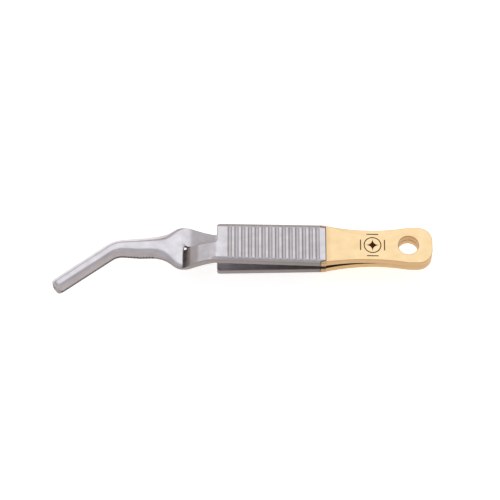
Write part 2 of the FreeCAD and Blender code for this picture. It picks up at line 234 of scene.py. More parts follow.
def gold_width(x):
    """Half width: two parabolas, waist + rise * (distance / span)^2, that meet at the waist.

    One rises to the leaf's front edge and the other to the tail, which keeps its width from
    the hole backwards. A parabola this flat can't be told from the arc that a grinder makes.
    """
    leafward = (LEAF_HALF - WAIST_HALF) * ((WAIST_X - x) / (PLATING_EDGE + WAIST_X)) ** 2
    tailward = (TAIL_HALF - WAIST_HALF) * ((x - WAIST_X) / -WAIST_X) ** 2
    tail = soft_least(WAIST_HALF + tailward, TAIL_HALF, 0.08)
    return np.where(x < WAIST_X, WAIST_HALF + leafward, tail)


def gold_outline(front, inset, count):
    """Plan outline from the front edge back round the tail, count points, closed.

    The sides follow the width formula, and the tail's corners are quarter circles that meet
    its straight end. The inset moves every point inwards, square to the outline. The outward
    normals come back too.
    """
    x = np.linspace(-front, TAIL_END - TAIL_CORNER, 90)
    side = np.stack([x, gold_width(x)], -1)
    centre = (TAIL_END - TAIL_CORNER, side[-1, 1] - TAIL_CORNER)
    half = np.concatenate([side, arc(centre, TAIL_CORNER, 90, 0, 24)[1:]])
    mirrored = half[::-1] * [1, -1]
    line = along_line(np.concatenate([half, mirrored, half[:1]]), count + 1)[:-1]
    tangent = np.roll(line, -1, axis=0) - np.roll(line, 1, axis=0)
    normal = np.stack([-tangent[:, 1], tangent[:, 0]], -1)
    normal /= np.linalg.norm(normal, axis=1)[:, None]
    return line - inset * normal, normal


LIFT_SOFTNESS = 1.0                   # length over which the slope starts
FLAT_TO = 4.5                         # hole axis forward to where the tail stops being flat


def lift(x):
    """How far a leaf has left the middle plane: its slope beyond the slit, softly started."""
    ahead = -x - SLIT_ROOT
    climb = SLOPE * (ahead + np.sqrt(ahead ** 2 + LIFT_SOFTNESS ** 2)) / 2
    return climb * smooth_step(-x, FLAT_TO, SLIT_ROOT)


# %% [markdown]
# The grid follows. A ray from each point of the hole's rim to the outline carries the top and
# the underside, and short rounds join them at the rim and at the edge. Its marks say which
# points lie on a side or on the inner face, which get painted shade.

# %% Grid of a slab with a hole
AROUND_GOLD = 440
ACROSS_TOP = 46
ACROSS_BASE = 26


def slab_grid(front, low, high, edge, base_edge, hole, raised):
    """A slab from height low to high, as a ring of rows between hole and outline.

    Each row starts in the hole's wall, rounds its rim, crosses the top along a straight ray,
    rounds the outer edge, goes down the side and comes back underneath. The raised function
    gives the height that is added along the leaf.
    """
    outline, normal = gold_outline(front, 0, AROUND_GOLD)
    away = outline / np.linalg.norm(outline, axis=1)[:, None]
    wall = away * hole

    def ray(count, rim, inset):
        share = np.linspace(0, 1, count)[None, :, None]
        start, stop = wall + away * rim, outline - normal * inset
        return start[:, None] * (1 - share) + stop[:, None] * share

    def flat(points, height):
        return np.concatenate([points, np.full(points.shape[:2] + (1,), height)], -1)

    def rounded(line, direction, inset, height, drop):
        out, down = EDGE_OUT[1:], EDGE_DOWN[1:]
        plan = line[:, None] - direction[:, None] * (inset * (1 - out))[None, :, None]
        heights = np.broadcast_to(height - drop * inset * down, plan.shape[:2])
        return np.concatenate([plan, heights[..., None]], -1)

    top = flat(ray(ACROSS_TOP, edge, edge), high)
    outer = rounded(outline, normal, edge, high, 1)
    lower = rounded(outline, normal, base_edge, low, -1)[:, ::-1]
    base = flat(ray(ACROSS_BASE, edge, base_edge), low)[:, ::-1]
    hole_low = rounded(wall, -away, edge, low, -1)
    hole_high = rounded(wall, -away, edge, high, 1)[:, ::-1]
    grid = np.concatenate([top, outer, lower, base, hole_low, hole_high], 1)
    # Painted shade: these points on the sides take the darker side colour.
    side = np.zeros(grid.shape[:2])
    side[:, ACROSS_TOP + 1:ACROSS_TOP + 2 * ROUND_STEPS - 1] = 1
    side[:, -2 * ROUND_STEPS + 1:] = 1
    grid[..., 2] += raised(grid[..., 0])
    # The gold darkens towards the side tone over the last 1.6 mm before the plating's edge.
    edge_darkening = smooth_step(-grid[..., 0], PLATING_EDGE - 1.6, PLATING_EDGE)
    # Painted shade on the inner face, between the two strips.
    inner = np.zeros(grid.shape[:2])
    inner[:, ACROSS_TOP + 2 * ROUND_STEPS:ACROSS_TOP + 2 * ROUND_STEPS + ACROSS_BASE] = 1
    return grid, {"side_shade": side, "darker_toward_plating_edge": edge_darkening, "occlusion_shade": inner}


# %% [markdown]
# The lower spring is the upper one turned over, so one grid makes both. The film between them
# is the same slab again, only a tenth of a millimetre thick and cut off at the slit's root.

# %% Make both springs and the braze film
gold_grid, gold_marks = slab_grid(PLATING_EDGE, FILM, FILM + STRIP, 0.14, 0.03, HOLE, lift)
upper_spring = make_skin("upper_spring", gold_grid, gold_grid, gold_marks, ring=True)
lower_spring = make_skin("lower_spring", turned_over(gold_grid), turned_over(gold_grid),
                         gold_marks, ring=True)
film_grid, film_marks = slab_grid(SLIT_ROOT, -FILM, FILM, 0.01, 0.01, HOLE, np.zeros_like)
braze_film = make_skin("braze_film", film_grid, film_grid, film_marks, ring=True)

# %% [markdown]
# ## The steel arms in plan
# Plate, neck and jaw are one piece of steel. The plate is as wide as the clamp, the neck keeps
# to one half so that the other arm's neck can pass, and the jaw is wide again where it has
# crossed. Rows of straight lines join the side that the neck keeps to with the side that is
# cut away: past the plate's front wall, along the neck, round the notch and the jaw's back.

# %% Stations and widths of an arm
JAW_ROOT = PLATE_FRONT + 8.0          # the jaws' back edge
FLARE_END = JAW_ROOT + 9.9            # where the jaws have narrowed
TURN_START = FLARE_END + 3.8
TURN_RADIUS = 6.0
grip_axis = mounts["jaw_grip"]["axis"]
TURN_ANGLE = math.atan2(-grip_axis[1], -grip_axis[0])
TURN_END = TURN_START + TURN_RADIUS * TURN_ANGLE
TIP = TURN_END + 15.4
TIP_CORNER = 1.3
TIP_DROP = 0.95                       # fall of the crown at the very tip
NECK_EDGE = -0.12                     # the cut edge of a neck, beside the middle plane

JAW_HALF = 2.39
LEG_HALF = 1.86
FLARE_WAIST = 0.315                   # share of the flare where half of the extra width is gone
FLARE_POWER = 2.8
plate_and_neck = softened(
    [PLATING_EDGE, PLATE_FRONT, PLATE_FRONT + 0.7, PLATE_FRONT + 3.1, JAW_ROOT - 1.0],
    [5.0, 4.75, 4.62, 4.65, ROOT_HALF], 0.45)
jaw_taper = softened([JAW_ROOT, FLARE_END, TURN_END, TIP], [JAW_HALF, 2.33, LEG_HALF, 1.82], 0.45)


def half_width(u):
    """Half width of an arm at a station: plate and neck, then the jaw.

    The jaw is a long taper plus a shoulder, extra / (1 + (share / waist)^power), where share
    runs from 0 at the jaw's back edge to 1 at the flare's end. It leaves the back edge level,
    falls fast and runs out into the taper, as one sweep of a grinding wheel does.
    """
    share = np.clip((u - JAW_ROOT) / (FLARE_END - JAW_ROOT), 0, None)
    shoulder = (ROOT_HALF - JAW_HALF) / (1 + (share / FLARE_WAIST) ** FLARE_POWER)
    return np.where(u < JAW_ROOT, plate_and_neck(u), jaw_taper(u) + shoulder)


def middle_shift(u):
    """How far the flare's middle lies to the turn's side: one hump of a squared cosine."""
    middle, reach, most = FLARE_END - 4.1, 4.9, 0.26
    return most * np.cos(np.clip((u - middle) / reach, -1, 1) * math.pi / 2) ** 2


def tip_narrowing(u):
    """How far the side has come in at the tip: a quarter circle over the corner's radius."""
    into = np.clip(u - (TIP - TIP_CORNER), 0, TIP_CORNER)
    return TIP_CORNER - np.sqrt(TIP_CORNER ** 2 - into ** 2)


def side_at(u):
    """Half width with the rounded tip taken off, and never wider than the jaws' back edge."""
    return np.minimum(half_width(u) - tip_narrowing(u), ROOT_HALF)


# %% [markdown]
# The stations stand closest together where the outline turns fastest. Both edges need the
# same number of points, because a row joins one from each.

# %% Rows of an arm
def steady(start, stop, count):
    """Count even stations after start, up to and with stop."""
    return np.linspace(start, stop, count + 1)[1:]


def edge_points(stations, sign):
    """Points on the arm's own side: station along it, half width across."""
    return np.stack([stations, sign * side_at(stations)], -1)


PLATE_ROWS, WALL_ROWS, NECK_ROWS, BACK_ROWS, FLARE_ROWS = 321, 60, 70, 84, 90
PLATE_CORNER = 0.7                    # corner of a plate's front wall
WALL_FOOT = 0.5                       # round where that wall meets the neck
NOTCH_HALF, NOTCH_DEPTH = 0.50, 0.26  # half ellipse cut where neck and jaw meet
BACK_CORNER = 0.2                     # corner of the jaw's back edge
BACK_INSET = 0.02                     # keeps that corner inside the jaw's widest place


def arm_rows():
    """Two edges, point for point: the side that the neck keeps to, and the cut side."""
    wall_start, flare = PLATE_FRONT - PLATE_CORNER, JAW_ROOT + BACK_CORNER
    wall = np.concatenate([
        arc((wall_start, side_at(wall_start) - PLATE_CORNER), PLATE_CORNER, 90, 0),
        arc((PLATE_FRONT + WALL_FOOT, NECK_EDGE + WALL_FOOT), WALL_FOOT, 180, 270),
    ])
    back = np.concatenate([
        arc((JAW_ROOT - NOTCH_HALF, NECK_EDGE), (NOTCH_HALF, NOTCH_DEPTH), 180, 360, 25),
        arc((flare, ROOT_HALF - BACK_CORNER - BACK_INSET), BACK_CORNER, 180, 90),
    ])
    plate = np.linspace(PLATING_EDGE, wall_start, PLATE_ROWS)
    wall_end, neck_middle, flare_start = PLATE_FRONT + 1.0, PLATE_FRONT + 4.7, JAW_ROOT + 1.1
    kept = [plate, steady(wall_start, wall_end, WALL_ROWS),
            steady(wall_end, neck_middle, NECK_ROWS),
            steady(neck_middle, flare_start, BACK_ROWS),
            steady(flare_start, FLARE_END, FLARE_ROWS)]
    tip_rows = TIP - TIP_CORNER * np.cos(np.linspace(0, math.pi / 2, 15)[1:])
    shared = [steady(FLARE_END, TURN_START, 48), steady(TURN_START, TURN_END, 44),
              steady(TURN_END, TIP - TIP_CORNER, 168), tip_rows]
    neck_stations = steady(PLATE_FRONT + WALL_FOOT, back[0, 0], NECK_ROWS)
    neck = np.stack([neck_stations, np.full(NECK_ROWS, NECK_EDGE)], -1)
    neck_side = edge_points(np.concatenate(kept + shared), -1)
    cut_side = np.concatenate([
        edge_points(plate, 1), along_line(wall, WALL_ROWS + 1)[1:], neck,
        along_line(back, BACK_ROWS + 1)[1:],
        edge_points(steady(flare, FLARE_END, FLARE_ROWS), 1),
        edge_points(np.concatenate(shared), 1),
    ])
    return neck_side, cut_side


neck_side, cut_side = arm_rows()
print("arm rows:", len(neck_side), "of", len(cut_side), "tip at", round(TIP, 2))

# %% [markdown]
# ## The steel arms in height
# Above any place in that plan the arm has a top and an underside. The top climbs with the
# plate, drops down the neck to the mating plane and carries the jaw's teeth. The underside
# follows the strip, dips below the mating plane and becomes the jaw's crowned back, with its
# sloping flanks. Grooves, bevels and teeth are all part of these two formulas.

# %% Height of the top
GROOVES = 14
GROOVE_PITCH = 1.575
GROOVE_FRONT = PLATE_FRONT - 3.0
GROOVE_REAR = GROOVE_FRONT - (GROOVES - 1) * GROOVE_PITCH
GROOVE_RADIUS = 0.72
GROOVE_DEPTH = 0.20
GROOVE_MARGIN = 1.05                  # from the plate's edge in to where a groove's end begins
BEVEL_WIDTH = 0.80
BEVEL_DEPTH = 0.42
TOOTH_PITCH = 0.71
TOOTH_FIRST = JAW_ROOT + 7.0
TOOTH_LAST = TIP - 1.1
TOOTH_DEPTH = 0.32
TOOTH_HALF = 0.32


def inner_face(u):
    """Height of the strip's inner face at a station: it climbs steadily from the slit's root."""
    return FILM + (u - SLIT_ROOT) * SLOPE


front_inner = inner_face(PLATE_FRONT)
top_line = softened(
    [PLATING_EDGE, PLATING_EDGE + 1.0, PLATE_FRONT, PLATE_FRONT + 1.6, PLATE_FRONT + 4.6,
     JAW_ROOT - 1.8, JAW_ROOT - 0.2, TIP],
    [inner_face(PLATING_EDGE) + STRIP, inner_face(PLATING_EDGE + 1) + STRIP + PLATE_RISE,
     PLATE_TOP, PLATE_TOP - 0.52, PLATE_TOP - 1.57, 1.30, -FILM, -FILM], 0.45)


def nearest_gap(u, first, pitch, last):
    """Distance from u to the nearest of a row of evenly spaced cuts."""
    number = np.clip(np.round((u - first) / pitch), 0, round((last - first) / pitch))
    return u - first - number * pitch


def from_groove(u, q):
    """Distance to the middle line of the nearest groove. The line stops short of both edges,
    so places beyond its end measure to the end point, which makes the groove's end round."""
    off = nearest_gap(u, GROOVE_REAR, GROOVE_PITCH, GROOVE_FRONT)
    past = np.clip(np.abs(q) - (half_width(u) - GROOVE_MARGIN), 0, None)
    return np.hypot(off, past)


def top_height(u, q):
    """The top line, less the bevels beside the plate, the grooves and the tooth gaps.

    A bevel falls evenly over its width. A groove is a round-ended trough across the plate,
    radius - depth - sqrt(radius^2 - distance^2) deep, and the lower surface is kept.
    """
    height = top_line(u)
    on_plate = 1 - smooth_step(u, PLATE_FRONT + 0.3, PLATE_FRONT + 2.1)
    from_edge = half_width(u) - np.abs(q)
    bevel = BEVEL_DEPTH * (1 - from_edge / BEVEL_WIDTH)
    bevelled = soft_least(height, height - bevel, 0.05)
    height = height + (bevelled - height) * on_plate
    distance = from_groove(u, q)
    trough = GROOVE_RADIUS - GROOVE_DEPTH - np.sqrt(
        np.clip(GROOVE_RADIUS ** 2 - distance ** 2, 0, None))
    trough = np.where(distance < GROOVE_RADIUS, top_line(u) + trough, height + 1)
    height = soft_least(height, trough, 0.04)
    gap = np.abs(nearest_gap(u, TOOTH_FIRST, TOOTH_PITCH, TOOTH_LAST))
    return height - TOOTH_DEPTH * np.clip(1 - gap / TOOTH_HALF, 0, 1)


# %% [markdown]
# The underside has a formula of the same kind. A crown and two flanks cross at a soft ridge,
# and the lower of the two is the metal, which is how a belt leaves a ground edge.

# %% Height of the underside
ROOT_THICK = 1.0
flank_width = softened([JAW_ROOT, JAW_ROOT + 4.0, FLARE_END, TURN_END],
                       [0.36, 1.28, 1.20, 1.08], 0.5)
ridge_round = softened([JAW_ROOT, JAW_ROOT + 5.3, FLARE_END + 1.4], [0.25, 0.50, 0.28], 0.5)
land_height = softened([JAW_ROOT, JAW_ROOT + 3.5, FLARE_END - 2.6], [0.8, 0.5, 0.40], 0.5)
under_line = softened(
    [PLATING_EDGE, PLATE_FRONT, PLATE_FRONT + 1.8, JAW_ROOT - 1.7, JAW_ROOT, TIP],
    [inner_face(PLATING_EDGE), front_inner, front_inner - 0.78, -FILM - 0.67, -FILM - 1.0,
     -FILM - 1.0], 0.8)


def under_height(u, q):
    """Strip underside, then the jaw's back: a flat crown between two flanks that slope down
    to an upright land beside the mating plane. The corner between them is softened, and the
    crown falls in a quarter ellipse at the tip."""
    into = np.clip((u - (TIP - TIP_CORNER)) / TIP_CORNER, 0, 1)
    crown = ROOT_THICK + (JAW_THICK - ROOT_THICK) * smooth_step(u, JAW_ROOT - 1.0, FLARE_END)
    crown = crown - TIP_DROP * (1 - np.sqrt(1 - into ** 2))
    land = land_height(u)
    flank = land + (crown - land) * (half_width(u) - np.abs(q)) / flank_width(u)
    deep = np.maximum(soft_least(crown, flank, ridge_round(u)), 0.3)
    flanked = smooth_step(u, JAW_ROOT - 1.2, JAW_ROOT + 0.8)
    jaw = -FILM - crown - (deep - crown) * flanked
    return np.where(u < JAW_ROOT, under_line(u) - (deep - crown) * flanked, jaw)


# %% [markdown]
# The grooves, the step behind the jaws and the inner faces get painted shade. The
# plating stops in a thin line of painted shade and creeps a little further along the sides. These are
# shares from 0 to 1, worked out from the same distances as the shape.

# %% Painted shade in hollows and on inner faces
def occlusion_shade_share(u, q):
    """Painted shade: 1 in the grooves, on the step behind the jaws and on the mating face, and 0
    elsewhere.
    """
    grooves = 0.22 + 0.42 * smooth_step(from_groove(u, q), 0.56, 0.34)
    ribbed = smooth_step(u, PLATING_EDGE, GROOVE_REAR) * smooth_step(u, PLATE_FRONT, GROOVE_FRONT)
    return np.maximum(grooves * ribbed, smooth_step(u, JAW_ROOT - 1.95, JAW_ROOT - 1.55))


def plating_shares(u, q):
    """Two marks: 1 where the plating has crept over the steel, and 1 on the line of painted
    shade at its edge. The plating reaches further forward on the sides than on the face."""
    creep = smooth_step(half_width(u) - np.abs(q), 0.9, 0.2)
    edge = PLATING_EDGE + 1.25 * creep
    plated = 1 - smooth_step(u, edge - 0.06, edge + 0.06)
    width = 0.15 + 0.25 * creep * (1 - creep) * 4
    return plated, 1 - smooth_step(np.abs(u - edge), width * 0.5, width)


# %% [markdown]
# ## Wrapping an arm
# Each row is now walked round once: over the top, down the cut side, back underneath and up
# the neck's side. Last of all the strip is laid along its middle line, which is straight, then
# an arc, then straight again, so the jaws turn without their section being squeezed.


# %% Walk round every row
def edge_normals(edge, sign):
    """Outward normals of an edge, square to its run, averaged over its neighbours."""
    run = np.gradient(edge, axis=0)
    normal = sign * np.stack([-run[:, 1], run[:, 0]], -1)
    return normal / np.linalg.norm(normal, axis=1)[:, None]


def crowded(count):
    """Shares from 0 to 1 that stand closer together near both ends."""
    even = np.linspace(0, 1, count)
    return even - 0.8 * np.sin(2 * math.pi * even) / (2 * math.pi)


TOP_POINTS = 45
UNDER_POINTS = 31


def walked_rows(neck_side, cut_side):
    """The arm in strip coordinates, which are station, across and height, and its marks."""
    radius = softened([PLATE_FRONT - 0.7, PLATE_FRONT + 1.1, JAW_ROOT - 2.2, JAW_ROOT - 0.7],
                      [0.12, 0.20, 0.20, 0.06], 0.3)
    edges = ((neck_side, edge_normals(neck_side, -1)), (cut_side, edge_normals(cut_side, 1)))
    inner = [line - normal * radius(line[:, 0])[:, None] for line, normal in edges]

    def crossing(count, height, start, stop):
        share = crowded(count)[None, :, None]
        plan = inner[start][:, None] * (1 - share) + inner[stop][:, None] * share
        return np.concatenate([plan, height(plan[..., 0], plan[..., 1])[..., None]], -1)

    def rounding(which, height, drop):
        line, normal = edges[which]
        reach = radius(line[:, 0])[:, None]
        plan = line[:, None] - normal[:, None] * (reach * (1 - EDGE_OUT[1:]))[..., None]
        start = height(inner[which][:, 0], inner[which][:, 1])[:, None]
        return np.concatenate([plan, (start - drop * reach * EDGE_DOWN[1:])[..., None]], -1)

    grid = np.concatenate([
        crossing(TOP_POINTS, top_height, 0, 1),
        rounding(1, top_height, 1), rounding(1, under_height, -1)[:, ::-1],
        crossing(UNDER_POINTS, under_height, 1, 0),
        rounding(0, under_height, -1), rounding(0, top_height, 1)[:, ::-1],
    ], 1)
    # Painted shade: the sides and the tip's end take the darker side colour.
    side = np.zeros(grid.shape[:2])
    side[:, TOP_POINTS + 1:TOP_POINTS + 2 * ROUND_STEPS - 1] = 1
    side[:, -2 * ROUND_STEPS + 1:-1] = 1
    side = np.maximum(side, smooth_step(grid[..., 0], TIP - 0.25, TIP - 0.05))
    u, q = grid[..., 0], grid[..., 1]
    # Painted shade in the grooves, on the step and the mating face, then between the plates underneath,
    # darkest near the plating's edge.
    occlusion_shade = occlusion_shade_share(u, q)
    under = slice(TOP_POINTS, grid.shape[1])
    occlusion_shade[:, under] = 0.95 - 0.55 * smooth_step(u[:, under], PLATING_EDGE + 5, PLATE_FRONT - 8)
    occlusion_shade[:, under] *= 1 - smooth_step(u[:, under], PLATE_FRONT - 1, PLATE_FRONT + 2)
    # Painted shade, at a quarter, on the plate's bevels.
    bevel = smooth_step(side_at(u) - np.abs(q), BEVEL_WIDTH + 0.1, BEVEL_WIDTH - 0.3)
    side = np.maximum(side, 0.25 * bevel * (u < PLATE_FRONT))
    # Gold creeping onto the steel, and painted shade in a thin line at the plating's edge.
    plated, line = plating_shares(u, q)
    return grid, {"side_shade": side, "occlusion_shade": occlusion_shade, "plated": plated, "plating_edge_shade": line}


# %% [markdown]
# The turn is made last. Bending a finished mesh with a modifier would also squeeze its teeth;
# an arc of the middle line moves each section whole.

# %% Lay the strip along its middle line
def laid_out(strip, turn):
    """Strip coordinates to space. Up to the turn x = -u; then the middle line follows an arc
    of the turn's radius, towards +Y for turn 1 and -Y for turn -1, and leaves it straight."""
    u, q, z = strip[..., 0], strip[..., 1], strip[..., 2]
    q = q - turn * middle_shift(u)
    angle = np.clip((u - TURN_START) / TURN_RADIUS, 0, TURN_ANGLE)
    straight = np.minimum(u, TURN_START)
    beyond = np.clip(u - TURN_END, 0, None)
    ahead = straight + TURN_RADIUS * np.sin(angle) + beyond * np.cos(angle)
    aside = TURN_RADIUS * (1 - np.cos(angle)) + beyond * np.sin(angle)
    x = -ahead + turn * q * np.sin(angle)
    y = turn * aside + q * np.cos(angle)
    return np.stack([x, y, z], -1)


arm_strip, arm_marks = walked_rows(neck_side, cut_side)
upper_arm = make_skin("upper_steel_arm", laid_out(arm_strip, -1), arm_strip, arm_marks, ring=False)
lower_arm = make_skin("lower_steel_arm", turned_over(laid_out(arm_strip, 1)),
                      turned_over(arm_strip), arm_marks, ring=False)

# %% [markdown]
# ## Finishes
# Bare metal looks real through small things: the grain of the belt and a faint cloudiness. The
# sides get painted shade. Each finish reads the place on the straight strip, so that the grain follows
# the metal round the turn. Noise that is stretched along the strip makes the grain, and one
# with no stretch makes the cloudiness.


# %% Wiring helpers
class Finish:
    """A metal's node tree: short calls that add a node and return its output."""

    def __init__(self, name, roughness, anisotropic):
        self.material = bpy.data.materials.new(name)
        self.material.use_nodes = True
        self.nodes = self.material.node_tree.nodes
        self.links = self.material.node_tree.links
        self.shader = self.nodes["Principled BSDF"]
        self.shader.inputs["Metallic"].default_value = 1.0
        self.shader.inputs["Roughness"].default_value = roughness
        self.shader.inputs["Anisotropic"].default_value = anisotropic

    def feed(self, socket, source):
        """A number or colour is set on the socket; another node's output is linked to it."""
        if isinstance(source, bpy.types.NodeSocket):
            self.links.new(source, socket)
        else:
            socket.default_value = source

    def attribute(self, name, output):
        node = self.nodes.new("ShaderNodeAttribute")
        node.attribute_name = name
        return node.outputs[output]

    def math(self, operation, a, b=0.0, clamp=False):
        node = self.nodes.new("ShaderNodeMath")
        node.operation, node.use_clamp = operation, clamp
        self.feed(node.inputs[0], a)
        self.feed(node.inputs[1], b)
        return node.outputs[0]

    def noise(self, place, stretch, detail):
        """Noise in strip millimetres, with its own number of cycles per millimetre each way."""
        mapping = self.nodes.new("ShaderNodeMapping")
        mapping.inputs["Scale"].default_value = stretch
        self.feed(mapping.inputs["Vector"], place)
        node = self.nodes.new("ShaderNodeTexNoise")
        node.inputs["Scale"].default_value = 1.0
        node.inputs["Detail"].default_value = detail
        self.feed(node.inputs["Vector"], mapping.outputs[0])
        return node.outputs["Fac"]

    def between(self, share, low, high):
        """A number that goes from low to high as the share goes from 0 to 1."""
        node = self.nodes.new("ShaderNodeMapRange")
        self.feed(node.inputs["Value"], share)
        node.inputs["To Min"].default_value = low
        node.inputs["To Max"].default_value = high
        return node.outputs[0]

    def blend(self, share, first, second):
        """A colour that goes from the first to the second as the share goes from 0 to 1."""
        node = self.nodes.new("ShaderNodeMix")
        node.data_type = "RGBA"
        self.feed(node.inputs["Factor"], share)
        self.feed(node.inputs[6], first)
        self.feed(node.inputs[7], second)
        return node.outputs[2]

    def relief(self, height, depth_mm):
        """Bump of a real depth."""
        node = self.nodes.new("ShaderNodeBump")
        node.inputs["Distance"].default_value = depth_mm * MM
        self.feed(node.inputs["Height"], height)
        self.feed(self.shader.inputs["Normal"], node.outputs[0])


# The side colours are painted shade on sides and bevels; the braze film takes the gold one as its own
# darker tone.
GOLD, GOLD_CLOUD, GOLD_SIDE_SHADE_AND_BRAZE = (0.87, 0.685, 0.415, 1), (0.81, 0.60, 0.33, 1), (0.55, 0.35, 0.165, 1)
STEEL, STEEL_CLOUD, STEEL_SIDE_SHADE = (0.71, 0.70, 0.745, 1), (0.55, 0.54, 0.57, 1), (0.24, 0.205, 0.185, 1)
INNER_SHADE_AND_BRAZE_BROWN = (0.20, 0.11, 0.05, 1)       # painted shade on the springs' inner faces; the braze film's own darker tone too
OCCLUSION_SHADE = (0.37, 0.352, 0.35, 1)          # painted shade in the grooves, on the step and between the parts
PLATING_EDGE_SHADE = (0.13, 0.08, 0.055, 1)    # painted shade at the plating's edge, where the plate rises from the leaf
ETCH_BROWN = (0.055, 0.022, 0.008, 1)
GRAIN_CYCLES = (0.35, 11.0, 6.0)         # per millimetre along, across and through the strip
CLOUD_CYCLES = (0.45, 0.6, 0.6)
SPECK_CYCLES = (9.0, 9.0, 9.0)


def brushed_metal(name, face, cloud, side, occlusion_tone, roughness, grain_depth, mark=None):
    """Satin metal: grained faces with a faint cloudiness, and rougher sides with painted shade.

    The marks on the mesh choose between the face, the sides with painted shade, the hollows and
    inner faces with painted shade, and what the plating covers.
    """
    finish = Finish(name, roughness, 0.35)
    place = finish.attribute("strip_place", "Vector")
    side_shade_share, occlusion_shade, plated, edge_darkening, line = (
        finish.attribute(share, "Fac")
        for share in ("side_shade", "occlusion_shade", "plated", "darker_toward_plating_edge", "plating_edge_shade"))
    grain = finish.noise(place, GRAIN_CYCLES, 5.0)
    clouds = finish.noise(place, CLOUD_CYCLES, 3.0)
    specks = finish.noise(place, SPECK_CYCLES, 2.0)
    colour = finish.blend(finish.between(clouds, -0.4, 1.4), face, cloud)
    colour = finish.blend(finish.math("MULTIPLY", grain, 0.22), colour, cloud)
    colour = finish.blend(finish.between(specks, -0.25, 0.35), colour, cloud)
    colour = finish.blend(plated, colour, GOLD)
    side_shade_tone = finish.blend(plated, side, GOLD_SIDE_SHADE_AND_BRAZE)
    # Darker towards the plating's edge.
    colour = finish.blend(finish.math("MULTIPLY", edge_darkening, 0.30), colour, side)
    # Painted shade in the grooves, on the step and between the parts.
    colour = finish.blend(finish.math("MULTIPLY", occlusion_shade, 0.85), colour, occlusion_tone)
    # Painted shade on the sides.
    colour = finish.blend(finish.math("MULTIPLY", side_shade_share, 0.85), colour, side_shade_tone)
    # Painted shade in a thin line at the plating's edge.
    colour = finish.blend(line, colour, PLATING_EDGE_SHADE)
    rough = finish.math("ADD", finish.between(clouds, roughness - 0.07, roughness + 0.07),
                        finish.between(specks, -0.05, 0.05))
    rough = finish.math("ADD", rough, finish.math("MULTIPLY", side_shade_share, 0.12))
    rough = finish.math("ADD", rough, finish.math("MULTIPLY", occlusion_shade, 0.10))
    height = finish.math("ADD", grain, finish.math("MULTIPLY", specks, 0.5))
    if mark is not None:
        etched = mark(finish)
        colour = finish.blend(etched, colour, ETCH_BROWN)
        rough = finish.math("ADD", rough, finish.math("MULTIPLY", etched, 0.25))
        height = finish.math("SUBTRACT", height, finish.math("MULTIPLY", etched, 2.0))
    finish.feed(finish.shader.inputs["Base Color"], colour)
    finish.feed(finish.shader.inputs["Roughness"], rough)
    finish.relief(height, grain_depth)
    return finish.material


# %% [markdown]
# ## The etched ornament
# Makers etch a small dark mark on the plating. This one is only a plain ornament, a ring round
# a four-pointed star between two pairs of bars, worked out from distances. It lies in the finish
# and not in the mesh, because an etched mark has almost no depth.

# %% Ornament as a mask
MARK_X = -8.4
MARK_HEIGHT = 1.5                     # only faces above this height are marked
LINE_HALF = 0.15
RING_RADIUS = 1.95
STAR_SIZE = 1.36
BAR_DISTANCE = 2.80
BAR_HALF = 1.40
EDGE_SHARPNESS = 16.0                 # a line is full 1/16 mm inside its edge


def etched_ornament(finish):
    """1 inside the marked lines and 0 elsewhere, from distances to the ornament's middle."""
    split = finish.nodes.new("ShaderNodeSeparateXYZ")
    finish.feed(split.inputs[0], finish.attribute("strip_place", "Vector"))
    x = finish.math("ABSOLUTE", finish.math("SUBTRACT", split.outputs["X"], MARK_X))
    y = finish.math("ABSOLUTE", split.outputs["Y"])
    radius = finish.math("SQRT", finish.math("ADD", finish.math("MULTIPLY", x, x),
                                             finish.math("MULTIPLY", y, y)))

    def inside(depth):
        return finish.math("MULTIPLY", depth, EDGE_SHARPNESS, clamp=True)

    def band(distance, half):
        """Inside a stripe of that half width about where the distance is nought."""
        away = finish.math("SUBTRACT", half, finish.math("ABSOLUTE", distance))
        return inside(away)

    ring = band(finish.math("SUBTRACT", radius, RING_RADIUS), LINE_HALF)
    roots = finish.math("ADD", finish.math("SQRT", x), finish.math("SQRT", y))
    star = inside(finish.math("SUBTRACT", STAR_SIZE, roots))

    def bar_pair(across, along):
        beside = band(finish.math("SUBTRACT", across, BAR_DISTANCE), LINE_HALF)
        return finish.math("MULTIPLY", beside, band(along, BAR_HALF))

    marks = finish.math("MAXIMUM", finish.math("MAXIMUM", ring, star),
                        finish.math("MAXIMUM", bar_pair(y, x), bar_pair(x, y)))
    on_top = finish.math("GREATER_THAN", split.outputs["Z"], MARK_HEIGHT)
    return finish.math("MULTIPLY", marks, on_top)


# %% [markdown]
# Four finishes cover the five pieces. The two gold ones differ only in the ornament.

# %% Make the finishes and put them on
plain_gold = brushed_metal("satin_gold_plate", GOLD, GOLD_CLOUD, GOLD_SIDE_SHADE_AND_BRAZE, INNER_SHADE_AND_BRAZE_BROWN, 0.30, 0.006)
marked_gold = brushed_metal("etched_gold_plate", GOLD, GOLD_CLOUD, GOLD_SIDE_SHADE_AND_BRAZE, INNER_SHADE_AND_BRAZE_BROWN, 0.30, 0.006,
                            etched_ornament)
braze = brushed_metal("braze_under_plate", GOLD_SIDE_SHADE_AND_BRAZE, INNER_SHADE_AND_BRAZE_BROWN, GOLD_SIDE_SHADE_AND_BRAZE, INNER_SHADE_AND_BRAZE_BROWN, 0.42, 0.010)
steel = brushed_metal("satin_steel", STEEL, STEEL_CLOUD, STEEL_SIDE_SHADE, OCCLUSION_SHADE, 0.30, 0.006)

upper_spring.data.materials.append(marked_gold)
lower_spring.data.materials.append(plain_gold)
braze_film.data.materials.append(braze)
upper_arm.data.materials.append(steel)
lower_arm.data.materials.append(steel)

# %% [markdown]
# ## Putting the pieces on the moving bodies
# The tail stands still. Each arm moves with its limb. On the real clamp a spring is fixed at the
# slit's root and bends to follow the arm at the plating's edge; here the springs only have their
# transforms baked into their meshes, and are given no body.

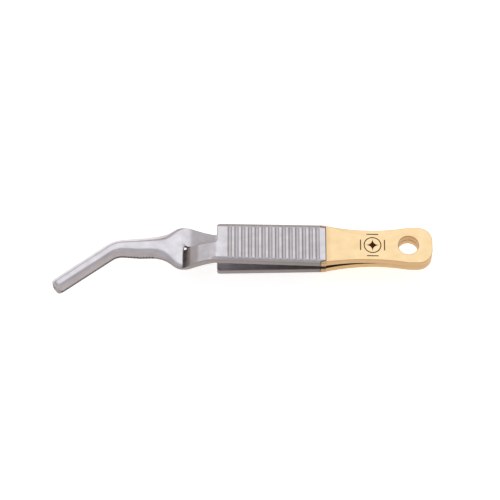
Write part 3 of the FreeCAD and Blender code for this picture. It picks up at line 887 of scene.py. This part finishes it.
# %% Bake the springs, and put the film and arms on their bodies
for spring, limb, half in ((upper_spring, "upper_limb", "upper"), (lower_spring, "lower_limb", "lower")):
    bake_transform(spring)
    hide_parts(f"tail_{half}_half", f"{half}_spring_leaf")
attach(braze_film, "tail")
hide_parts("tail_braze_film")
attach(upper_arm, "upper_limb")
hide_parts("upper_arm")
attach(lower_arm, "lower_limb")
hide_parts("lower_arm")

# %% [markdown]
# ## A pale floor
# The clamp is shown over a plain pale sheet that glows softly, as a light table does, which
# keeps the metal's lower edges clear. A squeezed clamp swings its lower jaw well below its
# finger plates, so the sheet lies a little deeper than the open jaw reaches.

# %% Floor
FLOOR_GAP = 0.3                       # between the open jaw and the sheet
hinge = next(joint for joint in frame["joints"] if joint["name"] == "lower_flex")
hinge_reach = TIP + hinge["pos_m"][0] / MM
jaw_fall = hinge_reach * math.sin(math.radians(max(hinge["range_deg"]))) + JAW_THICK
floor_height = -(jaw_fall + FLOOR_GAP) * MM
print(f"floor at {floor_height / MM:.2f} mm")
reach = 1.5
floor_mesh = bpy.data.meshes.new("studio_floor")
floor_mesh.from_pydata([(-reach, -reach, floor_height), (reach, -reach, floor_height),
                        (reach, reach, floor_height), (-reach, reach, floor_height)],
                       [], [(0, 1, 2, 3)])
floor = bpy.data.objects.new("studio_floor", floor_mesh)
bpy.context.scene.collection.objects.link(floor)
paper = bpy.data.materials.new("pale_paper")
paper.use_nodes = True
paper_nodes, paper_links = paper.node_tree.nodes, paper.node_tree.links
mottle = paper_nodes.new("ShaderNodeTexNoise")
mottle.inputs["Scale"].default_value = 40
tint = paper_nodes.new("ShaderNodeMix")
tint.data_type = "RGBA"
tint.inputs[6].default_value = (0.90, 0.90, 0.90, 1)
tint.inputs[7].default_value = (0.93, 0.925, 0.92, 1)
coordinates = paper_nodes.new("ShaderNodeTexCoord")
paper_links.new(coordinates.outputs["Object"], mottle.inputs["Vector"])
paper_links.new(mottle.outputs["Fac"], tint.inputs["Factor"])
paper_links.new(tint.outputs[2], paper_nodes["Principled BSDF"].inputs["Base Color"])
paper_nodes["Principled BSDF"].inputs["Emission Color"].default_value = (1.0, 1.0, 1.0, 1)
paper_nodes["Principled BSDF"].inputs["Emission Strength"].default_value = 0.55
paper_nodes["Principled BSDF"].inputs["Roughness"].default_value = 0.9
paper_nodes["Principled BSDF"].inputs["Specular IOR Level"].default_value = 0.0
floor_mesh.materials.append(paper)

# %% [markdown]
# ## Light
# Polished metal shows its surroundings, so it is lit with large soft boxes and not with lamps.
# The larger hangs beyond the clamp and above it, where the broad faces mirror it. A weak one in
# front fills the near sides. The room is warm and dim low down and cooler overhead, which gives
# the sloping flanks of the jaws their brown tone and the level crowns their blue one.


# %% Soft boxes
CLAMP_MIDDLE = Vector((-0.037, 0, 0))


def soft_box(name, place, size, watts, colour=(1, 1, 1)):
    """A rectangular area light at a place in metres, turned to face the clamp's middle."""
    light = bpy.data.lights.new(name, "AREA")
    light.shape = "RECTANGLE"
    light.size, light.size_y = size
    light.energy = watts
    light.color = colour
    box = bpy.data.objects.new(name, light)
    box.location = place
    aim = CLAMP_MIDDLE - box.location
    box.rotation_euler = aim.to_track_quat("-Z", "Y").to_euler()
    bpy.context.scene.collection.objects.link(box)


soft_box("overhead_box", (-0.04, 0.32, 0.62), (0.9, 0.6), 1.10)
soft_box("front_fill", (0.10, -0.70, 0.45), (0.8, 0.4), 0.12, (1.0, 0.97, 0.94))

world = bpy.data.worlds.new("studio_room")
bpy.context.scene.world = world
world.use_nodes = True
room_nodes, room_links = world.node_tree.nodes, world.node_tree.links
direction = room_nodes.new("ShaderNodeTexCoord")
room_height = room_nodes.new("ShaderNodeSeparateXYZ")
room_tone = room_nodes.new("ShaderNodeMix")
room_tone.data_type = "RGBA"
room_tone.inputs[6].default_value = (0.54, 0.455, 0.405, 1)
room_tone.inputs[7].default_value = (0.62, 0.615, 0.635, 1)
room_links.new(direction.outputs["Generated"], room_height.inputs[0])
room_links.new(room_height.outputs["Z"], room_tone.inputs["Factor"])
room_links.new(room_tone.outputs[2], room_nodes["Background"].inputs["Color"])
room_nodes["Background"].inputs["Strength"].default_value = 1.0
bpy.context.scene.view_settings.view_transform = "Standard"

# %% [markdown]
# ## Camera
# A long lens from well above the front edge, so that the lines stay almost parallel.

# %% Camera
LENS = 200
DISTANCE = 0.65
ELEVATION = math.radians(63)
target = Vector((-0.0370, -0.0003, 0))
camera = bpy.data.objects.new("camera", bpy.data.cameras.new("camera"))
camera.data.lens = LENS
camera.data.clip_start, camera.data.clip_end = 0.01, 10
camera.location = target + DISTANCE * Vector((0, -math.cos(ELEVATION), math.sin(ELEVATION)))
camera.rotation_euler = (target - camera.location).to_track_quat("-Z", "Y").to_euler()
bpy.context.scene.collection.objects.link(camera)
bpy.context.scene.camera = camera
